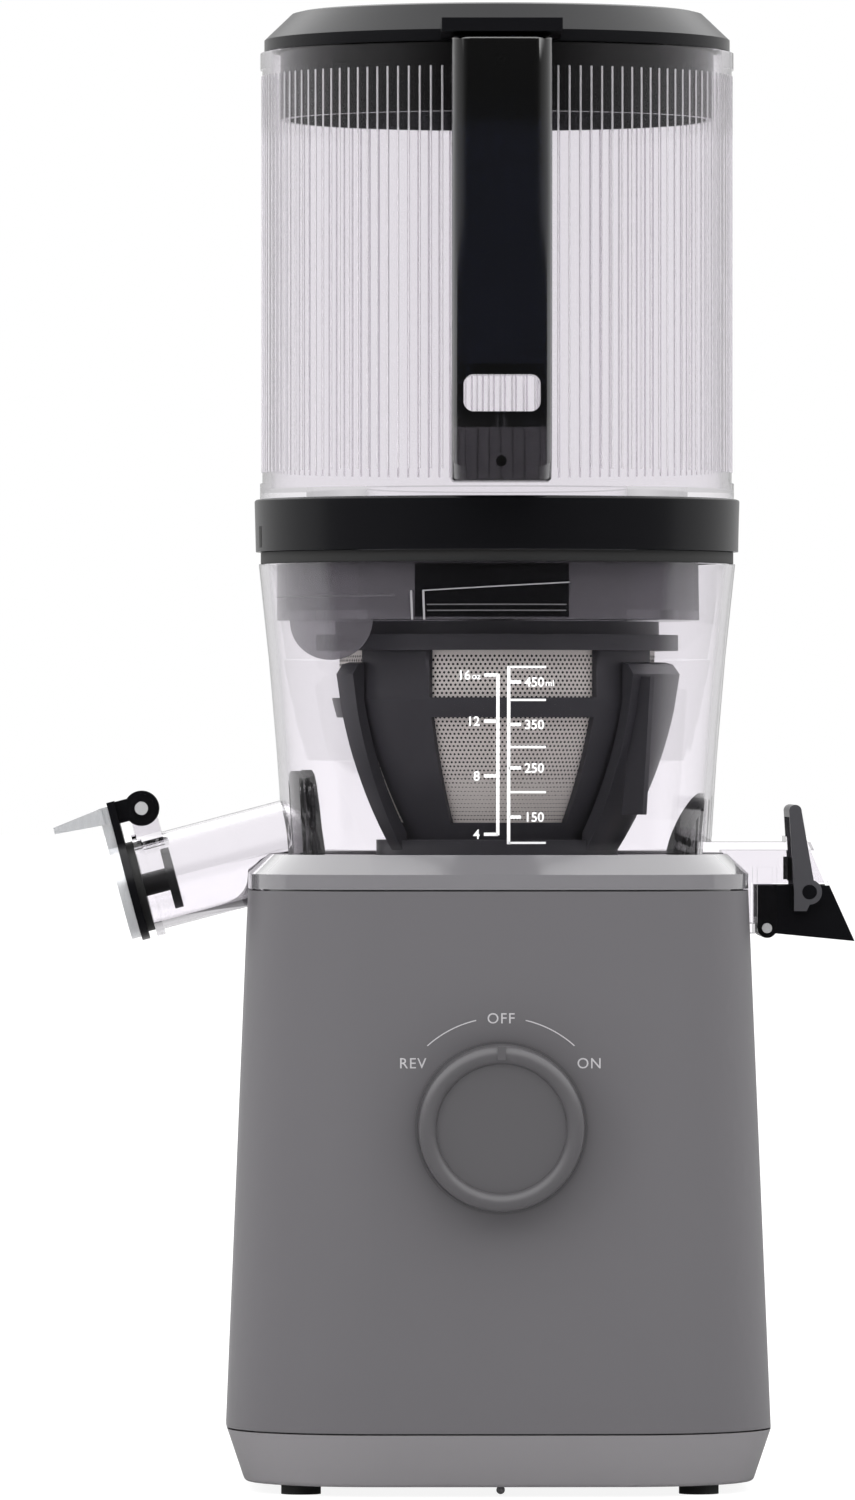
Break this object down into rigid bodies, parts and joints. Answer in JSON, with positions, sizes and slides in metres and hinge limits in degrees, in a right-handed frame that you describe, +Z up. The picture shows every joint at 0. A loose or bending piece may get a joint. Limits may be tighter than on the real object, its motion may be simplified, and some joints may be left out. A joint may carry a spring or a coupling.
{
  "type": "cold press juicer",
  "caption": "Upright cold press juicer: motor base with a control knob, lift-off juicing bowl with capped juice spout and pulp chute, and a lidded feed hopper with a front handle.",
  "frame": {"origin": "on the vertical drive axis, level with the worktop that the rubber feet stand on", "axes": "+Z up along the drive axis; the hopper handle and the control knob face -Y; the juice spout points to -X and the pulp chute to +X"},
  "size_m": [0.2446, 0.2028, 0.45],
  "materials": {
    "warm_grey": "fine matte",
    "pan_grey": "satin",
    "deck_grey": "gloss",
    "knob_grey": "fine matte",
    "clear": "clear polymer",
    "smoke_clear": "smoked clear polymer",
    "handle_smoke": "smoked gloss",
    "black_gloss": "gloss",
    "black_satin": "satin",
    "silver_gloss": "gloss",
    "silicone_black": "soft",
    "silicone_grey": "soft",
    "mesh_steel": "perforated",
    "auger_resin": "satin",
    "bright_steel": "ground",
    "zinc_steel": "zinc",
    "lamination": "laminated",
    "copper_wire": "enamelled",
    "gear_resin": "satin",
    "board_green": "lacquered",
    "component_black": "matte",
    "foot_rubber": "matte"
  },
  "bodies": {
    "base": {"rubber_feet": "foot_rubber", "bottom_pan": "pan_grey", "housing_screws": "zinc_steel", "body_shell": "warm_grey", "deck_ring": "deck_grey", "bowl_seat": "warm_grey", "motor_can": "zinc_steel", "motor_end_plate": "zinc_steel", "motor_stator": "lamination", "motor_windings": "copper_wire", "motor_bearings": "bright_steel", "gearbox_housing": "gear_resin", "gearbox_screws": "zinc_steel", "ring_gear": "bright_steel", "gearbox_cover": "gear_resin", "drive_bearing": "bright_steel", "shaft_seal": "silicone_black", "vibration_mounts": "foot_rubber", "circuit_board": "board_green", "board_components": "component_black", "board_screws": "zinc_steel", "rotary_switch": "component_black", "cord_gland": "silicone_black"},
    "rotor": {"motor_rotor": "bright_steel", "sun_gear": "bright_steel", "cooling_fan": "component_black"},
    "drive": {"drive_shaft": "bright_steel", "planet_carrier": "zinc_steel", "planet_pins": "bright_steel"},
    "planet_1": {"planet_gear_1": "gear_resin"},
    "planet_2": {"planet_gear_2": "gear_resin"},
    "planet_3": {"planet_gear_3": "gear_resin"},
    "knob": {"control_knob": "knob_grey", "switch_shaft": "component_black"},
    "bowl": {"juice_bowl": "clear", "centre_seal": "silicone_black", "strainer_frame": "black_satin", "strainer_mesh": "mesh_steel", "cap_hinge_pin": "bright_steel", "gate_hinge_pin": "bright_steel", "chute_gasket": "silicone_black"},
    "auger": {"auger": "auger_resin", "auger_bush": "bright_steel"},
    "pinion": {"wiper_pinion": "gear_resin"},
    "wiper": {"wiper_basket": "black_satin", "wiper_blades": "silicone_black"},
    "juice_cap": {"cap_plate": "black_gloss", "cap_cover": "silver_gloss", "cap_plug": "silicone_black"},
    "gate": {"pulp_gate": "black_gloss"},
    "bail": {"bail_latch": "black_gloss"},
    "seal": {"hopper_seal": "silicone_grey"},
    "hopper": {"hopper": "clear", "hopper_collar": "black_gloss", "feed_plate": "smoke_clear", "hopper_handle": "handle_smoke", "handle_screws": "zinc_steel", "lid_hinge_pin": "bright_steel"},
    "lid": {"lid": "black_gloss", "lid_skirt": "smoke_clear"}
  },
  "joints": [
    {"name": "drive_spin", "type": "hinge", "parent": "base", "child": "drive", "pos_m": [0, 0, 0.14], "axis": [0, 0, 1], "continuous": true},
    {"name": "motor_spin", "type": "hinge", "parent": "base", "child": "rotor", "pos_m": [0, 0, 0.06], "axis": [0, 0, 1], "continuous": true},
    {"name": "planet_1_spin", "type": "hinge", "parent": "drive", "child": "planet_1", "pos_m": [0, 0.0231, 0.123], "axis": [0, 0, 1], "continuous": true},
    {"name": "planet_2_spin", "type": "hinge", "parent": "drive", "child": "planet_2", "pos_m": [-0.02, -0.01155, 0.123], "axis": [0, 0, 1], "continuous": true},
    {"name": "planet_3_spin", "type": "hinge", "parent": "drive", "child": "planet_3", "pos_m": [0.02, -0.01155, 0.123], "axis": [0, 0, 1], "continuous": true},
    {"name": "knob_turn", "type": "hinge", "parent": "base", "child": "knob", "pos_m": [0, -0.08422, 0.111], "axis": [0, -1, 0], "range_deg": [-52.5, 52.5]},
    {"name": "bowl_lift", "type": "slide", "parent": "base", "child": "bowl", "axis": [0, 0, 1], "range_m": [0, 0.12]},
    {"name": "auger_spin", "type": "hinge", "parent": "bowl", "child": "auger", "pos_m": [0, 0, 0.2], "axis": [0, 0, 1], "continuous": true},
    {"name": "pinion_spin", "type": "hinge", "parent": "bowl", "child": "pinion", "pos_m": [0, 0.0228, 0.188], "axis": [0, 0, 1], "continuous": true},
    {"name": "wiper_spin", "type": "hinge", "parent": "bowl", "child": "wiper", "pos_m": [0, 0, 0.2], "axis": [0, 0, 1], "continuous": true},
    {"name": "juice_cap_hinge", "type": "hinge", "parent": "bowl", "child": "juice_cap", "pos_m": [-0.10885, 0, 0.20647], "axis": [0, 1, 0], "range_deg": [0, 100]},
    {"name": "pulp_gate_hinge", "type": "hinge", "parent": "bowl", "child": "gate", "pos_m": [0.082, 0, 0.17], "axis": [0, 1, 0], "range_deg": [0, 60]},
    {"name": "bail_swing", "type": "hinge", "parent": "gate", "child": "bail", "pos_m": [0.0949, 0, 0.181], "axis": [0, 1, 0], "range_deg": [0, 75]},
    {"name": "hopper_lift", "type": "slide", "parent": "bowl", "child": "seal", "axis": [0, 0, 1], "range_m": [0, 0.15]},
    {"name": "hopper_twist", "type": "hinge", "parent": "seal", "child": "hopper", "pos_m": [0, 0, 0.29], "axis": [0, 0, 1], "range_deg": [0, 25]},
    {"name": "lid_hinge", "type": "hinge", "parent": "hopper", "child": "lid", "pos_m": [0, 0.079, 0.4405], "axis": [-1, 0, 0], "range_deg": [0, 95]}
  ],
  "couplings": [
    {"joint": "motor_spin", "follows": "drive_spin", "ratio": 7},
    {"joint": "planet_1_spin", "follows": "drive_spin", "ratio": -2.4},
    {"joint": "planet_2_spin", "follows": "drive_spin", "ratio": -2.4},
    {"joint": "planet_3_spin", "follows": "drive_spin", "ratio": -2.4},
    {"joint": "auger_spin", "follows": "drive_spin", "ratio": 1},
    {"joint": "pinion_spin", "follows": "drive_spin", "ratio": -1.7143},
    {"joint": "wiper_spin", "follows": "drive_spin", "ratio": -0.46154}
  ]
}
